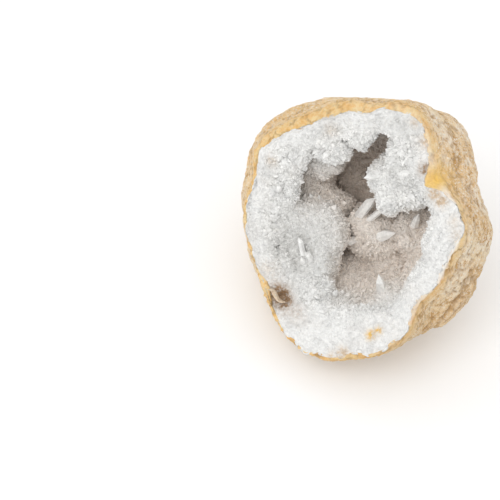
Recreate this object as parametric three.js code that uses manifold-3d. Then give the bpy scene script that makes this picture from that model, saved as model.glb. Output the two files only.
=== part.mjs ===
// One half of a broken quartz geode: a tan limestone rind around a thick wall of white quartz,
// hollow in the middle, with the larger quartz crystals standing on the wall as pieces of their own.
// Millimetres, +Z up. The origin is the centre of the worn flat that the stone rests on, and the
// open face looks towards -Y and upwards.
import * as THREE from "three";
import { mergeVertices } from "three/addons/utils/BufferGeometryUtils.js";
import Module from "manifold-3d";

const wasm = await Module();
wasm.setup();

// Driving dimensions.
const FACE_RISE = 42; // degrees from horizontal up to the open face's outward normal
const FACE_CENTRE = new THREE.Vector3(3, -12, 48.5);
const NECK = 15; // the break runs this many degrees in front of the whole stone's widest section
const COLUMNS = 56; // mesh columns around the stone
const RINGS = { // mesh rings: first and last angle behind the widest section, or travel, and count
  outside: [80, -NECK, 15],
  inside: [-NECK, 76, 10],
  hidden: [76, -NECK, 10],
  band: [0.34, 1, 3],
  bowl: [1.08, 1.94, 15],
};

// The whole stone, as it was before it broke, is an uneven ball.
const BACK_REACH = 41; // the ball's half axis across the break
const BELLY_FROM_RIM = 35; // degrees over which the rim's outline turns into the belly's
const RIND_BACK = 3; // rind thickness behind the rim
const JOINT_GAP = 0.3; // clearance between pieces that touch
const INSIDE_FLOOR = 2.6; // the rind's inside and the quartz stay above the flat by these heights
const QUARTZ_FLOOR = 3;

// The hollow.
const LIP_DEPTH = 3; // the broken quartz slopes in this far before the hollow drops away
const HOLLOW_DEPTH = 36;
const HOLLOW_UNDERCUT = 0.1; // the hollow widens behind its mouth by this share
const BOWL_FULLNESS = 0.65; // below 1 the hollow's side stays wide before it turns in to the floor
const BOWL_FALL = 1.15; // above 1 the hollow deepens slowly at first
const HOLLOW_AXIS = { u: -8, v: 7 }; // where its floor is, from the face's centre

// Outlines in the plane of the break: [degrees anticlockwise from the right, radius].
const QUARTZ_RIM = [
  [0, 38], [15, 39], [27, 42.5], [40, 42], [50, 38.5], [57, 35], [65, 40], [78, 47.5], [90, 48.5],
  [105, 43.5], [120, 42.5], [135, 41], [150, 42], [165, 44], [180, 39.5], [195, 40], [210, 38.5],
  [225, 37.5], [240, 38.5], [255, 42], [270, 45.5], [285, 46.5], [300, 44.5], [315, 44], [330, 41.5],
  [345, 36.5],
];
const CRUST_WIDTH = [
  [0, 1.2], [45, 1.4], [57, 5], [70, 1.6], [90, 2], [120, 3.5], [150, 3.6], [180, 1.8], [210, 1.2],
  [240, 1.2], [300, 1.2], [330, 1.2],
];
const BELLY = [
  [0, 47.5], [22, 48], [45, 47], [67, 51.5], [90, 50], [112, 46.5], [135, 51], [157, 55], [180, 54.5],
  [202, 50.5], [225, 48.5], [247, 45], [270, 42], [292, 40.5], [315, 40.5], [337, 46],
];
const MOUTH = [
  [0, 30], [40, 32], [65, 33], [90, 38], [128, 33.5], [178, 34], [225, 31], [260, 31], [285, 29],
  [313, 31],
];

// Knobs (height above 0) and dimples on the outside: angle around the face, degrees behind the
// widest section, spread in degrees, height.
const KNOBS = [
  { around: 79, back: 18, spread: 10, height: 1.5 },
  { around: 100, back: 15, spread: 11, height: -1.8 },
  { around: 173, back: 5, spread: 9, height: 1.4 },
  { around: 195, back: 5, spread: 10, height: -1.2 },
  { around: 316, back: 25, spread: 14, height: -1.2 },
  { around: 352, back: 28, spread: 10, height: 1.6 },
  { around: 7, back: 25, spread: 8, height: -1.4 },
  { around: 50, back: 22, spread: 12, height: -0.9 },
  { around: 20, back: 58, spread: 18, height: 2.2 },
  { around: 95, back: 50, spread: 16, height: -2.0 },
  { around: 140, back: 55, spread: 20, height: 2.4 },
  { around: 205, back: 48, spread: 18, height: -1.8 },
  { around: 272, back: 66, spread: 24, height: 5 },
];

// Mounds of quartz grown on the hollow's wall, each an ellipsoid: centre and half sizes as right,
// up and depth in the face's frame.
const MOUNDS = {
  left: { centre: [-15, -15, 16], half: [16, 15.5, 12.5] },
  leftFill: { centre: [-19, -23.5, 9.5], half: [8, 7, 6.5] },
  leftBase: { centre: [-11, -28, 10], half: [7.5, 6.5, 6.5] },
  leftSeam: { centre: [-32, -6, 7], half: [6, 7, 6] },
  backLeft: { centre: [-21.5, -1.5, 25.5], half: [10.5, 9, 9] },
  backUpper: { centre: [-30, 9.5, 26], half: [9, 8.5, 8] },
  backTop: { centre: [-27, 17, 20], half: [9, 8.5, 8] },
  leftLip: { centre: [-31.7, 1.4, 6.5], half: [6.8, 8.5, 5.5] },
  lowerLeftLip: { centre: [-28.5, -14, 6], half: [6.5, 8, 5] },
  upperLeftLip: { centre: [-33.5, 15, 5.5], half: [7, 6.5, 5] },
  topSeam: { centre: [-31.5, 22.5, 7], half: [5.5, 5, 5] },
  roofLeft: { centre: [-19.8, 24, 8], half: [6, 5.5, 5.5] },
  roofMiddle: { centre: [-12, 33, 6], half: [5, 5, 5] },
  ledgeRoot: { centre: [13, 25.5, 10], half: [11, 9.5, 7.5] },
  ledgeTip: { centre: [2, 22.5, 11], half: [7, 6.5, 6] },
  ledgeTop: { centre: [5, 34, 9], half: [7, 7, 6] },
  ledgeFoot: { centre: [8, 17.5, 12], half: [7, 6, 6] },
  rightLip: { centre: [32, 14, 6], half: [6.5, 8, 6] },
  rightLow: { centre: [32, -4, 8], half: [4, 7, 6] },
  lowRight: { centre: [21, -19, 18], half: [6, 6, 6] },
  bottomLip: { centre: [20, -30, 5], half: [9, 6, 4] },
  bottomLeftLip: { centre: [-1.5, -29.5, 8.5], half: [7, 7, 6.5] },
  floor: { centre: [3, -3, 32], half: [11, 10, 11] },
  floorRight: { centre: [17, 8, 28], half: [9, 9, 8] },
  wedgeFoot: { centre: [-4.5, 1, 28], half: [6.5, 6.5, 7] },
};

// The larger crystals: the mound that each one stands on, the way from the mound's centre to its
// root, the way it points in the face's frame, its length and its width.
const UPRIGHT = [-0.37, 0.8, -0.5];
const CRYSTALS = {
  centre_wedge: {
    on: "wedgeFoot", out: [-0.05, 0.14, -0.93],
    points: [0.3, 0.88, -0.36], length: 12.5, width: 4,
  },
  centre_finger: {
    on: "floor", out: [0.04, -0.11, -0.99],
    points: [0.66, 0.71, -0.26], length: 12, width: 4.6,
  },
  centre_stub: {
    on: "wedgeFoot", out: [0.5, -0.16, -0.85],
    points: [0.45, 0.84, -0.3], length: 11.5, width: 2.6,
  },
  floor_needle: {
    on: "floor", out: [-0.6, -0.4, -0.7],
    points: [-0.1, -0.3, -0.9], length: 8, width: 3.2,
  },
  floor_right: {
    on: "floorRight", out: [-0.1, 0.2, -0.97],
    points: [0.1, 0.75, -0.6], length: 7, width: 3.2,
  },
  hollow_block: {
    on: "lowRight", out: [-0.6, 0.5, -0.6],
    points: [-0.4, 0.8, -0.45], length: 7.2, width: 3.8,
  },
  hollow_low: {
    on: "bottomLeftLip", out: [0.75, 0.45, 0.3],
    points: [0.3, 0.7, -0.6], length: 6, width: 2.6,
  },
  ledge_tip: {
    on: "ledgeTip", out: [-0.3, 0, -0.95],
    points: [-0.5, -0.3, -0.8], length: 6, width: 2.8,
  },
  ledge_top: {
    on: "ledgeRoot", out: [-0.5, 0.2, -0.7],
    points: [0.75, 0.45, -0.5], length: 6.5, width: 3,
  },
  mound_tall: {
    on: "left", out: [0.16, -0.13, -0.88],
    points: UPRIGHT, length: 7.8, width: 2.4,
  },
  mound_twin: {
    on: "left", out: [0.41, -0.17, -0.84],
    points: [-0.2, 0.5, -0.85], length: 6.6, width: 2.8,
  },
  mound_side: {
    on: "left", out: [0.34, -0.58, -0.76],
    points: UPRIGHT, length: 6, width: 2,
  },
  back_left: {
    on: "backLeft", out: [0.05, -0.13, -0.9],
    points: UPRIGHT, length: 7, width: 2.4,
  },
  back_twin: {
    on: "backLeft", out: [0.35, 0.06, -0.89],
    points: UPRIGHT, length: 6, width: 2,
  },
  roof_lobe: {
    on: "roofLeft", out: [0.1, -0.35, -0.95],
    points: [0.1, -0.4, -0.9], length: 5.6, width: 2.6,
  },
  left_lip: {
    on: "leftLip", out: [0.2, -0.1, -0.95],
    points: [0.3, 0.5, -0.8], length: 6, width: 2.6,
  },
};
const CRYSTAL_ROOT = 0.82; // the root's distance from a mound's centre, as a share of its half size
const CRYSTAL_TIP = 0.85; // height of a crystal's pointed end, as a share of its width
const CRYSTAL_TAPER = 0.9; // width at the shoulder as a share of the width at the root
const TIP_ASIDE = 0.16; // a crystal's point is this far off its axis, as a share of its width
const TURN_STEP = 23; // degrees that each crystal is turned on from the one before

const TAN = { color: 0xdcc095, roughness: 0.9, metalness: 0 };
const WHITE = { color: 0xeeedea, roughness: 0.45, metalness: 0 };
const CLEAR = { color: 0xf4f4f2, roughness: 0.15, metalness: 0 };

const radians = THREE.MathUtils.degToRad;
const smooth = (share) => THREE.MathUtils.smoothstep(share, 0, 1);

// A closed smooth curve through [degrees, value] pairs, as a function of the angle.
function outline(pairs) {
  const count = pairs.length;
  const at = (i) => {
    const turns = Math.floor(i / count);
    const [angle, value] = pairs[i - turns * count];
    return { angle: angle + 360 * turns, value };
  };
  const slope = (i) => (at(i + 1).value - at(i - 1).value) / (at(i + 1).angle - at(i - 1).angle);
  return (degrees) => {
    const angle = ((degrees % 360) + 360) % 360;
    let i = -1;
    while (at(i + 1).angle <= angle) i += 1;
    const [a, b] = [at(i), at(i + 1)];
    const span = b.angle - a.angle;
    const t = (angle - a.angle) / span;
    const [t2, t3] = [t * t, t * t * t];
    return (2 * t3 - 3 * t2 + 1) * a.value + (t3 - 2 * t2 + t) * span * slope(i)
      + (3 * t2 - 2 * t3) * b.value + (t3 - t2) * span * slope(i + 1);
  };
}

const quartzRim = outline(QUARTZ_RIM);
const crustWidth = outline(CRUST_WIDTH);
const belly = outline(BELLY);
const mouth = outline(MOUTH);

// The face's frame: u right and v up in the break, depth into the stone.
const rise = radians(FACE_RISE);
const acrossU = new THREE.Vector3(1, 0, 0);
const acrossV = new THREE.Vector3(0, Math.sin(rise), Math.cos(rise));
const inwards = new THREE.Vector3(0, Math.cos(rise), -Math.sin(rise));
const outwards = inwards.clone().negate();

const turned = (u, v, depth) => new THREE.Vector3()
  .addScaledVector(acrossU, u).addScaledVector(acrossV, v).addScaledVector(inwards, depth);
const placed = (u, v, depth) => turned(u, v, depth).add(FACE_CENTRE);

// A gentle wave of the broken rim in front of and behind the plane of the break.
const rimWave = (around) => 0.7 * Math.sin(radians(2 * around + 40)) + 0.5 * Math.sin(radians(3 * around));

// A direction from the stone's middle, for angles between directions.
const onBall = (around, back) => new THREE.Vector3()
  .setFromSphericalCoords(1, radians(90 - back), radians(around));

// How far the knobs and dimples lift the outside at one place.
function knobHeight(around, back) {
  const here = onBall(around, back);
  return KNOBS.reduce((height, knob) => {
    const away = THREE.MathUtils.radToDeg(here.angleTo(onBall(knob.around, knob.back))) / knob.spread;
    return height + knob.height * Math.exp(-away * away);
  }, 0);
}

// A point `under` mm below the outside of the rind, or of the quartz when under is the rind's
// thickness. back runs from -NECK at the rim to 90 at the back. The flat cuts it off at `floor`.
function skin(around, back, rimRadius, under, floor) {
  const share = smooth((back + NECK) / BELLY_FROM_RIM);
  const radius = THREE.MathUtils.lerp(rimRadius, belly(around) - under, share) / Math.cos(radians(NECK));
  const lift = knobHeight(around, back) * share;
  const across = (radius + lift) * Math.cos(radians(back));
  const reach = BACK_REACH + lift - under * share;
  const depth = reach * (Math.sin(radians(back)) + Math.sin(radians(NECK))) + rimWave(around) * (1 - share);
  const point = placed(across * Math.cos(radians(around)), across * Math.sin(radians(around)), depth);
  point.z = Math.max(point.z, floor);
  return point;
}

// A point of the broken quartz and the hollow: travel 0 at the rim, 1 at the lip, 2 at the floor.
function hollowPoint(around, travel) {
  const lip = mouth(around);
  let radius, depth, drift;
  if (travel <= 1) {
    radius = THREE.MathUtils.lerp(quartzRim(around) - JOINT_GAP, lip, travel);
    depth = rimWave(around) * (1 - travel) + LIP_DEPTH * travel * travel;
    drift = 0;
  } else {
    const turn = radians(90 * (travel - 1));
    radius = lip * (Math.cos(turn) ** BOWL_FULLNESS + HOLLOW_UNDERCUT * Math.sin(2 * turn));
    depth = LIP_DEPTH + (HOLLOW_DEPTH - LIP_DEPTH) * Math.sin(turn) ** BOWL_FALL;
    drift = Math.sin(turn);
  }
  return placed(
    radius * Math.cos(radians(around)) + HOLLOW_AXIS.u * drift,
    radius * Math.sin(radians(around)) + HOLLOW_AXIS.v * drift,
    depth,
  );
}

const angles = Array.from({ length: COLUMNS }, (_, i) => (360 * i) / COLUMNS);
const steps = (from, to, count) => {
  const step = (to - from) / (count - 1);
  return Array.from({ length: count }, (_, i) => from + step * i);
};
const ring = (pointAt) => angles.map(pointAt);

// One closed surface from a first pole through rings of points to a last pole. Each patch between
// two rings is split along its shorter diagonal.
function closedSurface(firstPole, rings, lastPole) {
  const points = [firstPole, ...rings.flat(), lastPole];
  const last = points.length - 1;
  const index = [];
  const at = (row, column) => 1 + row * COLUMNS + (column % COLUMNS);
  for (let column = 0; column < COLUMNS; column += 1) {
    index.push(0, at(0, column + 1), at(0, column));
    for (let row = 0; row + 1 < rings.length; row += 1) {
      const [a, b] = [at(row, column), at(row, column + 1)];
      const [c, d] = [at(row + 1, column + 1), at(row + 1, column)];
      const splitAtA = points[a].distanceToSquared(points[c]) < points[b].distanceToSquared(points[d]);
      index.push(...(splitAtA ? [a, b, c, a, c, d] : [a, b, d, b, c, d]));
    }
    index.push(at(rings.length - 1, column), at(rings.length - 1, column + 1), last);
  }
  return new THREE.BufferGeometry().setFromPoints(points).setIndex(index);
}

// The rind: outside from the back to the rim, over its broken edge, and back along its inside.
function rindGeometry() {
  const outerRim = (around) => quartzRim(around) + crustWidth(around);
  const outside = (back) => ring((around) => skin(around, back, outerRim(around), 0, 0));
  const inside = (back) => ring((around) => skin(around, back, quartzRim(around), RIND_BACK, INSIDE_FLOOR));
  const outRings = steps(...RINGS.outside).map(outside);
  const inRings = steps(...RINGS.inside).map(inside);
  return closedSurface(outside(90)[0], [...outRings, ...inRings], inside(90)[0]);
}

// The quartz wall: its hidden side against the rind, then the broken face and the hollow.
function quartzGeometry() {
  const under = RIND_BACK + JOINT_GAP;
  const innerRim = (around) => quartzRim(around) - JOINT_GAP;
  const hidden = (back) => ring((around) => skin(around, back, innerRim(around), under, QUARTZ_FLOOR));
  const hiddenRings = steps(...RINGS.hidden).map(hidden);
  const hollowRings = [...steps(...RINGS.band), ...steps(...RINGS.bowl)]
    .map((travel) => ring((around) => hollowPoint(around, travel)));
  return closedSurface(hidden(90)[0], [...hiddenRings, ...hollowRings], hollowPoint(0, 2));
}

// A mound of quartz, as an ellipsoid along the face's axes.
function moundGeometry({ centre, half }) {
  const axes = new THREE.Matrix4().makeBasis(acrossU, acrossV, outwards);
  const fineness = Math.max(...half) > 9 ? 3 : 2;
  return new THREE.IcosahedronGeometry(1, fineness)
    .scale(...half)
    .applyMatrix4(axes)
    .translate(...placed(...centre).toArray());
}

// A six-sided quartz prism, tapering a little, closed by an off-centre point.
function crystalGeometry({ length, width }, extra = 0) {
  const foot = width / 2 + extra;
  const shoulder = length - CRYSTAL_TIP * width;
  const profile = [
    new THREE.Vector2(0, -extra),
    new THREE.Vector2(foot, -extra),
    new THREE.Vector2(foot * CRYSTAL_TAPER, shoulder),
    new THREE.Vector2(0, length + extra),
  ];
  const geometry = new THREE.LatheGeometry(profile, 6);
  const place = geometry.getAttribute("position");
  for (let i = 0; i < place.count; i += 1) {
    if (place.getY(i) > shoulder + 0.01) place.setX(i, TIP_ASIDE * width);
  }
  return geometry;
}

// Where a crystal stands: rooted a little inside its mound, pointing its own way.
function crystalMatrix({ on, out, points }, turn) {
  const { centre, half } = MOUNDS[on];
  const way = new THREE.Vector3(...out).normalize().multiply(new THREE.Vector3(...half));
  const root = new THREE.Vector3(...centre).addScaledVector(way, CRYSTAL_ROOT);
  const up = new THREE.Vector3(0, 1, 0);
  const lean = new THREE.Quaternion().setFromUnitVectors(up, turned(...points).normalize());
  const spin = new THREE.Quaternion().setFromAxisAngle(up, radians(turn));
  return new THREE.Matrix4()
    .compose(placed(...root.toArray()), lean.multiply(spin), new THREE.Vector3(1, 1, 1));
}

// Closed three.js geometry to a manifold-3d solid and back.
function solidFrom(geometry) {
  const bare = geometry.clone();
  bare.deleteAttribute("normal");
  bare.deleteAttribute("uv");
  const merged = mergeVertices(bare, 1e-4);
  return new wasm.Manifold(new wasm.Mesh({
    numProp: 3,
    vertProperties: new Float32Array(merged.getAttribute("position").array),
    triVerts: new Uint32Array(merged.index.array),
  }));
}

function geometryFrom(solid) {
  const mesh = solid.getMesh();
  return new THREE.BufferGeometry()
    .setAttribute("position", new THREE.BufferAttribute(mesh.vertProperties, 3))
    .setIndex(new THREE.BufferAttribute(mesh.triVerts, 1));
}

function named(name, geometry, finish) {
  const mesh = new THREE.Mesh(geometry, new THREE.MeshStandardMaterial(finish));
  mesh.name = name;
  return mesh;
}

const geode = new THREE.Group();
geode.add(named("rind", rindGeometry(), TAN));

// Each crystal is rooted in a socket cut in the quartz wall, a joint gap wider than itself.
let wall = solidFrom(quartzGeometry());
Object.values(MOUNDS).forEach((mound) => {
  wall = wall.add(solidFrom(moundGeometry(mound)));
});
Object.entries(CRYSTALS).forEach(([name, crystal], i) => {
  const matrix = crystalMatrix(crystal, TURN_STEP * i);
  wall = wall.subtract(solidFrom(crystalGeometry(crystal, JOINT_GAP).applyMatrix4(matrix)));
  geode.add(named(`crystal_${name}`, crystalGeometry(crystal).applyMatrix4(matrix), CLEAR));
});
geode.add(named("quartz_wall", geometryFrom(wall), WHITE));

export default geode;
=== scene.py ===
import itertools
import bpy
import numpy as np
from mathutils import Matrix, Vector


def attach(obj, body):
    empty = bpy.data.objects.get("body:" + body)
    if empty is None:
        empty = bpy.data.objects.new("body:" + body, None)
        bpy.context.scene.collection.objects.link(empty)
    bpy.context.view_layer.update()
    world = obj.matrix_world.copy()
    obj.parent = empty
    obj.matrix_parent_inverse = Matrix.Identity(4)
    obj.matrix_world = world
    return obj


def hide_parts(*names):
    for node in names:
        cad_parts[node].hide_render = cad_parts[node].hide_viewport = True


# Half of a broken quartz geode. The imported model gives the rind, the quartz wall and the large
# crystals; this script gives them their real surfaces, the crust of small crystals and the finishes.

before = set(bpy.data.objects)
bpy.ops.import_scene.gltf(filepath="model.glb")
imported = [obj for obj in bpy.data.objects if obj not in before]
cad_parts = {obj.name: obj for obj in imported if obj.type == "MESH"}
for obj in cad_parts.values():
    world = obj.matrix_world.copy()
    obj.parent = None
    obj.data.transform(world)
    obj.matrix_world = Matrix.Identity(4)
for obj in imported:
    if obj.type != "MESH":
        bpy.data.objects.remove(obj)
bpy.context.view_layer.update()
print("frame loaded:", len(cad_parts), "nodes")

mm = 0.001  # shapes are worked out in millimetres and put into the meshes in metres
rng = np.random.default_rng(11)

# The stone's frame and outlines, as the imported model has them.

face = {
    "rise": 42.0,  # degrees from level up to the open face's outward normal
    "centre": np.array([3.0, -12.0, 48.5]),
}
rise = np.radians(face["rise"])
faceAxes = np.array([  # right, up and inwards of the open face
    [1.0, 0.0, 0.0],
    [0.0, np.sin(rise), np.cos(rise)],
    [0.0, np.cos(rise), -np.sin(rise)],
])

stone = {
    "neck": 15.0,  # the break runs this many degrees in front of the widest section
    "backReach": 41.0,
    "bellyFromRim": 35.0,
    "rindBack": 3.0,
    "quartzRim": [
        (0, 38), (15, 39), (27, 42.5), (40, 42), (50, 38.5), (57, 35), (65, 40), (78, 47.5), (90, 48.5),
        (105, 43.5), (120, 42.5), (135, 41), (150, 42), (165, 44), (180, 39.5), (195, 40), (210, 38.5),
        (225, 37.5), (240, 38.5), (255, 42), (270, 45.5), (285, 46.5), (300, 44.5), (315, 44),
        (330, 41.5), (345, 36.5),
    ],
    "crustWidth": [
        (0, 1.2), (45, 1.4), (57, 5), (70, 1.6), (90, 2), (120, 3.5), (150, 3.6), (180, 1.8),
        (210, 1.2), (240, 1.2), (300, 1.2), (330, 1.2),
    ],
    "belly": [
        (0, 47.5), (22, 48), (45, 47), (67, 51.5), (90, 50), (112, 46.5), (135, 51), (157, 55),
        (180, 54.5), (202, 50.5), (225, 48.5), (247, 45), (270, 42), (292, 40.5), (315, 40.5), (337, 46),
    ],
    "knobs": [  # around the face, behind the widest section, spread (degrees), height (mm)
        (79, 18, 10, 1.5), (100, 15, 11, -1.8), (173, 5, 9, 1.4), (195, 5, 10, -1.2), (316, 25, 14, -1.2),
        (352, 28, 10, 1.6), (7, 25, 8, -1.4), (50, 22, 12, -0.9), (20, 58, 18, 2.2), (95, 50, 16, -2.0),
        (140, 55, 20, 2.4), (205, 48, 18, -1.8), (272, 66, 24, 5),
    ],
}

hollow = {
    "mouth": [
        (0, 30), (40, 32), (65, 33), (90, 38), (128, 33.5), (178, 34), (225, 31), (260, 31), (285, 29),
        (313, 31),
    ],
    "lipDepth": 3.0,
    "depth": 36.0,
    "undercut": 0.1,
    "roundness": 0.65,  # powers that shape the bowl's sides and its floor
    "flatness": 1.15,
    "floorShift": (-8.0, 7.0),  # the floor's middle from the face's centre
}

rimBreak = {
    "chip": 0.85,  # mm that the quartz's outline is chipped in and out
    "chipSize": 5.0,
    "around": 40.0,  # mm, the circle that the chips are read along
    "bare": 2.0,  # mm of the rind's broken edge that lies bare at one place
    "bareAt": 240.0,
    "bareReach": 9.0,
    "waves": ((0.7, 2, 40), (0.5, 3, 0)),  # slow waves of the rim: mm, how many in a turn, degrees
}

seeds = {  # one for each roughness, so that none repeats another
    "swell": 21, "wrinkle": 31, "wander": 33, "fineWrinkle": 35, "deepWrinkle": 37, "deepFine": 39, "pit": 41,
    "pitted": 51, "grit": 61, "brokenEdge": 71, "quartzSwell": 81, "domes": 91, "smallDomes": 111,
    "fine": 121, "moundSwell": 131, "patchy": 141, "shell": 151, "chip": 161, "heads": 171,
    "moundHills": 181,
}


def placed(flat):
    # Points given as right, up and depth in the open face's frame, turned into the part's frame.
    return face["centre"] + flat @ faceAxes


def unplaced(points):
    # The same the other way: right, up and depth of points in the part's frame.
    return (points - face["centre"]) @ faceAxes.T


def closedCurve(pairs):
    # A smooth closed outline through (degrees, value) pairs: a cubic from each pair to the next,
    # whose slope at a pair is that of the line between its two neighbours.
    angle, value = np.array(pairs, float).T
    angle = np.concatenate([angle[-2:] - 360, angle, angle[:2] + 360])
    value = np.concatenate([value[-2:], value, value[:2]])
    slope = np.zeros_like(value)
    slope[1:-1] = (value[2:] - value[:-2]) / (angle[2:] - angle[:-2])

    def at(degrees):
        turned = np.mod(degrees, 360)
        i = np.clip(np.searchsorted(angle, turned, side="right") - 1, 1, len(angle) - 3)
        span = angle[i + 1] - angle[i]
        t = (turned - angle[i]) / span
        return (
            (2 * t**3 - 3 * t**2 + 1) * value[i] + (t**3 - 2 * t**2 + t) * span * slope[i]
            + (3 * t**2 - 2 * t**3) * value[i + 1] + (t**3 - t**2) * span * slope[i + 1]
        )

    return at


quartzRim = closedCurve(stone["quartzRim"])
crustWidth = closedCurve(stone["crustWidth"])
belly = closedCurve(stone["belly"])
mouth = closedCurve(hollow["mouth"])


def turns(count):
    # So many directions round the face, in degrees.
    return np.linspace(0, 360, count, endpoint=False)[None]


def awayFrom(flat, u, v):
    # The distance across the face from a place given as right and up.
    return np.hypot(flat[..., 0] - u, flat[..., 1] - v)


def bell(away):
    # 1 at nothing, falling smoothly to almost nothing at 2.
    return np.exp(-away * away)


def turnFrom(around, middle):
    # Degrees round the face from a given direction, either way.
    return (around - middle + 180) % 360 - 180


def chippedRim(around):
    # The quartz's broken outline: the smooth one chipped in and out by fixed random heights.
    turn = np.radians(around)
    circle = np.stack([rimBreak["around"] * np.cos(turn), rimBreak["around"] * np.sin(turn), 0 * turn], -1)
    bare = rimBreak["bare"] * bell(turnFrom(around, rimBreak["bareAt"]) / rimBreak["bareReach"])
    chips = layered(circle, rimBreak["chipSize"], 4, seeds["chip"])
    return quartzRim(around) + rimBreak["chip"] * chips - bare


def smooth(share):
    # From 0 to 1 as the share does, level at both ends.
    t = np.clip(share, 0, 1)
    return t * t * (3 - 2 * t)


def rimWave(around):
    # Two slow waves that take the broken rim in front of and behind a flat plane.
    return sum(high * np.sin(np.radians(count * around + start)) for high, count, start in rimBreak["waves"])


def scrambled(i, j, k, seed):
    # A fixed random number from -1 to 1 for each whole-number place.
    n = i * 374761393 + j * 668265263 + k * 1274126177 + seed * 974711
    n = (n ^ (n >> 13)) * 1103515245 + 12345
    n = (n ^ (n >> 15)) * 668265263
    return ((n >> 9) & 0xFFFFF) / 0x7FFFF - 1.0


def hills(points, size, seed):
    # Random heights at the corners of a cubic lattice, blended smoothly between them.
    cell = points / size
    low = np.floor(cell).astype(np.int64)
    t = smooth(cell - low)
    total = np.zeros(points.shape[:-1])
    for corner in range(8):
        c = np.array([corner & 1, corner >> 1 & 1, corner >> 2 & 1])
        weight = np.prod(np.where(c, t, 1 - t), axis=-1)
        at = low + c
        total += weight * scrambled(at[..., 0], at[..., 1], at[..., 2], seed)
    return total


def layered(points, size, octaves, seed):
    # Hills with smaller hills on them, each layer half as wide and half as high.
    return sum(hills(points, size / 2**o, seed + o) * 0.5**o for o in range(octaves))


def grains(points, size, seed):
    # Every point belongs to the nearest of many scattered centres. Gives the distance to it as a
    # share of the grain size, how much further the second nearest is, and that grain's random number.
    cell = points / size
    low = np.floor(cell).astype(np.int64)
    nearest = np.full(points.shape[:-1], 9.0)
    second = np.full(points.shape[:-1], 9.0)
    luck = np.zeros(points.shape[:-1])
    for step in np.ndindex(3, 3, 3):
        at = low + np.array(step) - 1
        i, j, k = at[..., 0], at[..., 1], at[..., 2]
        jitter = np.stack([scrambled(i, j, k, seed + s) for s in (101, 202, 303)], -1) * 0.42 + 0.5
        away = np.linalg.norm(at + jitter - cell, axis=-1)
        closer = away < nearest
        second = np.where(closer, nearest, np.minimum(second, away))
        luck = np.where(closer, scrambled(i, j, k, seed + 404), luck)
        nearest = np.where(closer, away, nearest)
    return nearest, second - nearest, luck


def domes(points, size, seed):
    # Round caps packed against each other, as botryoidal quartz grows: high in the middle and creased
    # between.
    near, _, luck = grains(points, size, seed)
    return np.sqrt(np.clip(1 - (near / 0.85) ** 2, 0, 1)) * (0.75 + 0.25 * luck)


def buildMesh(name, points, quads, triangles, values=None, smoothed=True):
    # Points in millimetres, faces as rows of point numbers, values as named numbers for each point.
    mesh = bpy.data.meshes.new(name)
    mesh.vertices.add(len(points))
    mesh.vertices.foreach_set("co", (np.asarray(points) * mm).astype(np.float32).ravel())
    corners = np.concatenate([np.asarray(faces, np.int32).ravel() for faces in (quads, triangles)])
    sizes = np.concatenate([np.full(len(quads), 4), np.full(len(triangles), 3)]).astype(np.int32)
    mesh.loops.add(len(corners))
    mesh.loops.foreach_set("vertex_index", corners.astype(np.int32))
    mesh.polygons.add(len(sizes))
    mesh.polygons.foreach_set("loop_start", (np.cumsum(sizes) - sizes).astype(np.int32))
    mesh.polygons.foreach_set("use_smooth", np.full(len(sizes), smoothed))
    mesh.update(calc_edges=True)
    for key, value in (values or {}).items():
        value = np.asarray(value, np.float32)
        if value.ndim == 2:
            mesh.attributes.new(key, "FLOAT_VECTOR", "POINT").data.foreach_set("vector", value.ravel())
        else:
            mesh.attributes.new(key, "FLOAT", "POINT").data.foreach_set("value", value)
    piece = bpy.data.objects.new(name, mesh)
    bpy.context.scene.collection.objects.link(piece)
    return piece


def gridFaces(rows, columns, start=1):
    # Four-cornered faces between neighbouring rows of points, closed round the columns.
    row, column = np.meshgrid(np.arange(rows - 1), np.arange(columns), indexing="ij")
    after = (column + 1) % columns
    a = start + row * columns + column
    b = start + row * columns + after
    return np.stack([a, b, b + columns, a + columns], -1).reshape(-1, 4)


def closedGrid(rows):
    # The faces and points of a surface whose first and last rows each shrink to one point.
    count, columns = rows.shape[:2]
    points = np.concatenate([rows[0].mean(0)[None], rows.reshape(-1, 3), rows[-1].mean(0)[None]])
    column = np.arange(columns)
    after = (column + 1) % columns
    last = len(points) - 1
    firstFan = np.stack([np.zeros(columns, int), 1 + after, 1 + column], -1)
    base = 1 + (count - 1) * columns
    lastFan = np.stack([base + column, base + after, np.full(columns, last)], -1)
    return points, gridFaces(count, columns), np.concatenate([firstFan, lastFan])


def withPoles(value):
    # A value for each point of a closed grid, from the values of its rows.
    return np.concatenate([value[:1].mean(1), value.reshape(-1, *value.shape[2:]), value[-1:].mean(1)])


def gridNormals(rows):
    # The outward direction at each point: the way across the columns crossed with that along the rows.
    across = np.roll(rows, -1, 1) - np.roll(rows, 1, 1)
    along = np.gradient(rows, axis=0)
    normal = np.cross(across, along)
    return normal / np.maximum(np.linalg.norm(normal, axis=-1, keepdims=True), 1e-9)


def knobHeight(around, back):
    # Each knob lifts the skin by its height times a bell curve of the angle from its top.
    a, b = np.radians(around), np.radians(back)
    total = np.zeros(np.broadcast(a, b).shape)
    for knobAround, knobBack, spread, height in stone["knobs"]:
        ka, kb = np.radians(knobAround), np.radians(knobBack)
        cosine = np.sin(b) * np.sin(kb) + np.cos(b) * np.cos(kb) * np.cos(a - ka)
        away = np.degrees(np.arccos(np.clip(cosine, -1, 1))) / spread
        total += height * bell(away)
    return total


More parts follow.
